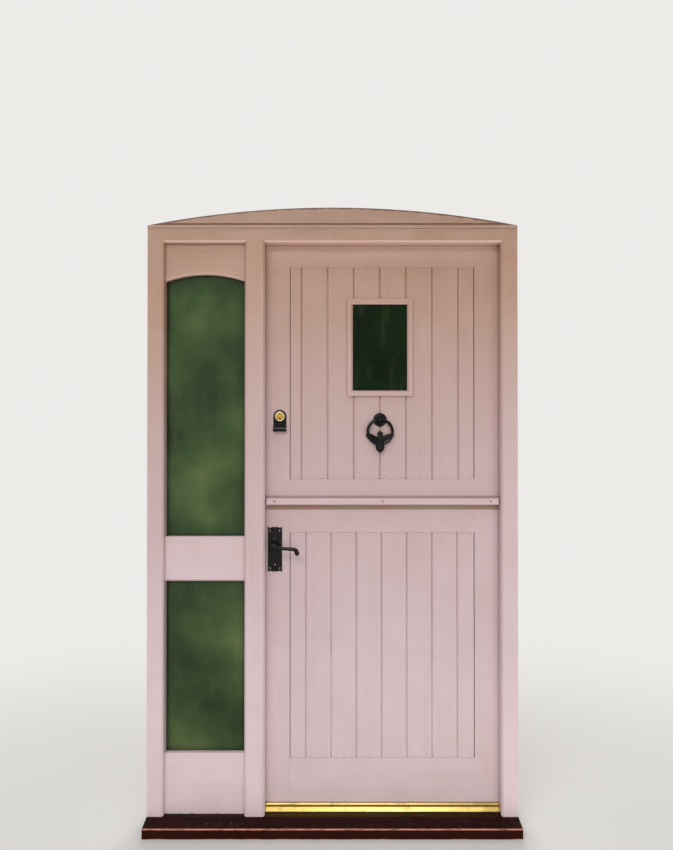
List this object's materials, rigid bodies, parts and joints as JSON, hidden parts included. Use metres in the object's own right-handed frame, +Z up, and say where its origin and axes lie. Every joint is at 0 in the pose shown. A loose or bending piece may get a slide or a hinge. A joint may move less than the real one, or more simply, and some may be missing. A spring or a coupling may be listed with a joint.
{
  "type": "dutch stable door",
  "caption": "Painted timber stable door in its frame, with a split boarded leaf that swings inwards, a glazed sidelight, an arched head board and a hardwood sill.",
  "frame": {"origin": "under the sill, at the middle of its length and in the plane of the frame's outside face", "axes": "+Z up, +X to the right as seen from outside, +Y into the building, so outside faces -Y"},
  "size_m": [1.292, 0.2108, 2.1525],
  "materials": {
    "painted_wood": "satin paint",
    "sill_wood": "gloss varnish",
    "glass": "clear",
    "black_iron": "satin black",
    "brass": "polished",
    "lock_brass": "satin",
    "steel": "brushed",
    "latch_enamel": "satin",
    "seal_rubber": "matt"
  },
  "bodies": {
    "frame": {"sill": "sill_wood", "frame_jamb_left": "painted_wood", "frame_jamb_right": "painted_wood", "frame_mullion": "painted_wood", "frame_head": "painted_wood", "head_cover_strip": "painted_wood", "arch_board": "painted_wood", "frame_seal": "seal_rubber", "threshold_bar": "brass", "lock_keep": "steel", "night_latch_keep": "latch_enamel", "sidelight_base_rail": "painted_wood", "sidelight_middle_rail": "painted_wood", "sidelight_top_rail": "painted_wood", "sidelight_panes": "glass", "sidelight_beads": "painted_wood", "hinge_frame_plates": "steel", "hinge_pins": "steel", "frame_screws": "steel"},
    "top_leaf": {"top_leaf_lock_stile": "painted_wood", "top_leaf_hanging_stile": "painted_wood", "top_leaf_head_rail": "painted_wood", "top_leaf_meeting_rail": "painted_wood", "top_leaf_boards": "painted_wood", "top_leaf_pins": "painted_wood", "top_leaf_hinge_plates": "steel", "top_leaf_screws": "steel", "window_bead": "painted_wood", "window_pane": "glass", "window_lining": "painted_wood", "weather_ledge": "painted_wood", "cylinder_pull": "black_iron", "cylinder_body": "brass", "night_latch_case": "latch_enamel", "knocker_boss": "black_iron", "knocker_striker": "black_iron", "barrel_bolt_keep": "black_iron"},
    "bottom_leaf": {"bottom_leaf_lock_stile": "painted_wood", "bottom_leaf_hanging_stile": "painted_wood", "bottom_leaf_meeting_rail": "painted_wood", "bottom_leaf_base_rail": "painted_wood", "bottom_leaf_middle_ledge": "painted_wood", "bottom_leaf_boards": "painted_wood", "bottom_leaf_pins": "painted_wood", "bottom_leaf_hinge_plates": "steel", "bottom_leaf_screws": "steel", "lock_case": "steel", "handle_plates": "black_iron", "barrel_bolt_case": "black_iron"},
    "lever": {"outside_lever": "black_iron", "inside_lever": "black_iron", "handle_spindle": "steel", "lock_follower": "steel"},
    "latch_bolt": {"latch_bolt": "lock_brass"},
    "dead_bolt": {"dead_bolt": "lock_brass"},
    "knocker_ring": {"knocker_ring": "black_iron"},
    "cylinder_plug": {"cylinder_plug": "brass"},
    "night_latch_knob": {"night_latch_knob": "lock_brass"},
    "night_latch_bolt": {"night_latch_bolt": "lock_brass"},
    "barrel_bolt_rod": {"barrel_bolt_rod": "black_iron"}
  },
  "joints": [
    {"name": "top_leaf_swing", "type": "hinge", "parent": "frame", "child": "top_leaf", "pos_m": [0.5955, 0.1, 1.578], "axis": [0, 0, -1], "range_deg": [0, 110]},
    {"name": "bottom_leaf_swing", "type": "hinge", "parent": "frame", "child": "bottom_leaf", "pos_m": [0.5955, 0.1, 0.586], "axis": [0, 0, -1], "range_deg": [0, 110]},
    {"name": "lever_turn", "type": "hinge", "parent": "bottom_leaf", "child": "lever", "pos_m": [-0.203, 0.069, 0.975], "axis": [0, 1, 0], "range_deg": [0, 35], "stiffness_Nm_per_rad": 1.5, "springref_deg": -28.65},
    {"name": "latch_bolt_slide", "type": "slide", "parent": "bottom_leaf", "child": "latch_bolt", "axis": [1, 0, 0], "range_m": [0, 0.0121]},
    {"name": "dead_bolt_slide", "type": "slide", "parent": "bottom_leaf", "child": "dead_bolt", "axis": [-1, 0, 0], "range_m": [0, 0.016]},
    {"name": "knocker_lift", "type": "hinge", "parent": "top_leaf", "child": "knocker_ring", "pos_m": [0.1675, 0.035, 1.4135], "axis": [-1, 0, 0], "range_deg": [0, 70]},
    {"name": "cylinder_turn", "type": "hinge", "parent": "top_leaf", "child": "cylinder_plug", "pos_m": [-0.186, 0.06, 1.42], "axis": [0, 1, 0], "range_deg": [0, 90]},
    {"name": "night_latch_turn", "type": "hinge", "parent": "top_leaf", "child": "night_latch_knob", "pos_m": [-0.186, 0.12, 1.4255], "axis": [0, 1, 0], "range_deg": [0, 45], "stiffness_Nm_per_rad": 0.3, "springref_deg": -28.65},
    {"name": "night_latch_slide", "type": "slide", "parent": "top_leaf", "child": "night_latch_bolt", "axis": [1, 0, 0], "range_m": [0, 0.0141]},
    {"name": "barrel_bolt_slide", "type": "slide", "parent": "bottom_leaf", "child": "barrel_bolt_rod", "axis": [0, 0, 1], "range_m": [0, 0.03]}
  ],
  "couplings": [
    {"joint": "latch_bolt_slide", "follows": "lever_turn", "m_per_rad": 0.019644},
    {"joint": "night_latch_slide", "follows": "night_latch_turn", "m_per_rad": 0.017825}
  ]
}
